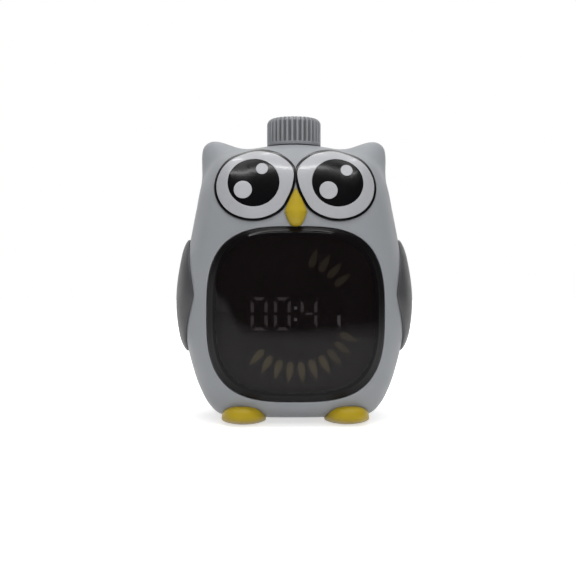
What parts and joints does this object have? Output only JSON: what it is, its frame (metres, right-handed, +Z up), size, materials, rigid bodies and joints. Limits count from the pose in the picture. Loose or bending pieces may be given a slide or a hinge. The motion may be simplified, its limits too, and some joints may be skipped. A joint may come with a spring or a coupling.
{
  "type": "digital study timer",
  "caption": "Owl-shaped countdown timer with a smoked window over a ring of light petals and digits, a turn-and-press knob on the head, slide switches and a battery door",
  "frame": {"origin": "Centre of the footprint at the height of the feet's undersides", "axes": "+Z up through the knob, the face with the window and the eyes towards -Y, +X to the viewer's right when facing the timer"},
  "size_m": [0.0944, 0.072, 0.1207],
  "materials": {
    "shell_grey": "satin moulded plastic in light grey",
    "smoked_window": "glossy smoked acrylic",
    "black_foam": "thin black foam tape",
    "yellow_plastic": "smooth mustard yellow plastic",
    "gloss_black": "glossy black",
    "eye_silver": "silver-white, satin",
    "glint_white": "white dots under the gloss",
    "wing_grey": "dark grey, satin",
    "foot_rubber": "mustard yellow, satin",
    "black_plastic": "matte black",
    "petal_amber": "milky light diffuser",
    "segment_milky": "milky light guide",
    "led_yellow": "clear resin over a light chip",
    "circuit_board": "green solder mask",
    "screw_steel": "plated steel",
    "knob_grey": "satin mid grey with fine ribs",
    "collar_grey": "satin mid grey",
    "cream_plastic": "unpainted bearing plastic",
    "encoder_metal": "pressed tinplate can",
    "cell_sleeve": "printed sleeve, plain",
    "contact_plate": "nickel-plated spring steel",
    "slider_black": "matte black"
  },
  "bodies": {
    "housing": {"front_shell": "shell_grey", "rear_shell": "shell_grey", "display_window": "smoked_window", "window_gasket": "black_foam", "beak": "yellow_plastic", "left_eye_plate": "gloss_black", "right_eye_plate": "gloss_black", "left_eye_white": "eye_silver", "right_eye_white": "eye_silver", "eye_glints": "glint_white", "left_wing": "wing_grey", "right_wing": "wing_grey", "left_foot": "foot_rubber", "right_foot": "foot_rubber", "light_frame": "black_plastic", "petal_diffusers": "petal_amber", "digit_housing": "black_plastic", "digit_segments": "segment_milky", "petal_leds": "led_yellow", "main_board": "circuit_board", "main_chip": "black_plastic", "board_screws": "screw_steel", "knob_collar": "collar_grey", "encoder_body": "encoder_metal", "dome_switch": "screw_steel", "encoder_board": "circuit_board", "encoder_screws": "screw_steel", "battery_cells": "cell_sleeve", "lower_contacts": "contact_plate", "upper_contacts": "contact_plate", "switch_board": "circuit_board", "switch_board_screws": "screw_steel", "buzzer": "black_plastic", "volume_switch_case": "encoder_metal", "power_switch_case": "encoder_metal", "case_screws": "screw_steel"},
    "rotor": {"encoder_rotor": "cream_plastic"},
    "push_knob": {"knob": "knob_grey", "encoder_shaft": "screw_steel"},
    "door": {"battery_door": "shell_grey"},
    "volume": {"volume_slider": "slider_black"},
    "power": {"power_slider": "slider_black"}
  },
  "joints": [
    {"name": "knob_turn", "type": "hinge", "parent": "housing", "child": "rotor", "pos_m": [0, 0.002, 0.1], "axis": [0, 0, 1], "continuous": true},
    {"name": "knob_press", "type": "slide", "parent": "rotor", "child": "push_knob", "axis": [0, 0, -1], "range_m": [0, 0.0003], "stiffness_N_per_m": 1500, "springref_m": -0.001},
    {"name": "battery_door_hinge", "type": "hinge", "parent": "housing", "child": "door", "pos_m": [0, 0.0336, 0.01265], "axis": [-1, 0, 0], "range_deg": [0, 32]},
    {"name": "volume_slide", "type": "slide", "parent": "housing", "child": "volume", "axis": [1, 0, 0], "range_m": [-0.002, 0.002]},
    {"name": "power_slide", "type": "slide", "parent": "housing", "child": "power", "axis": [1, 0, 0], "range_m": [0, 0.004]}
  ]
}
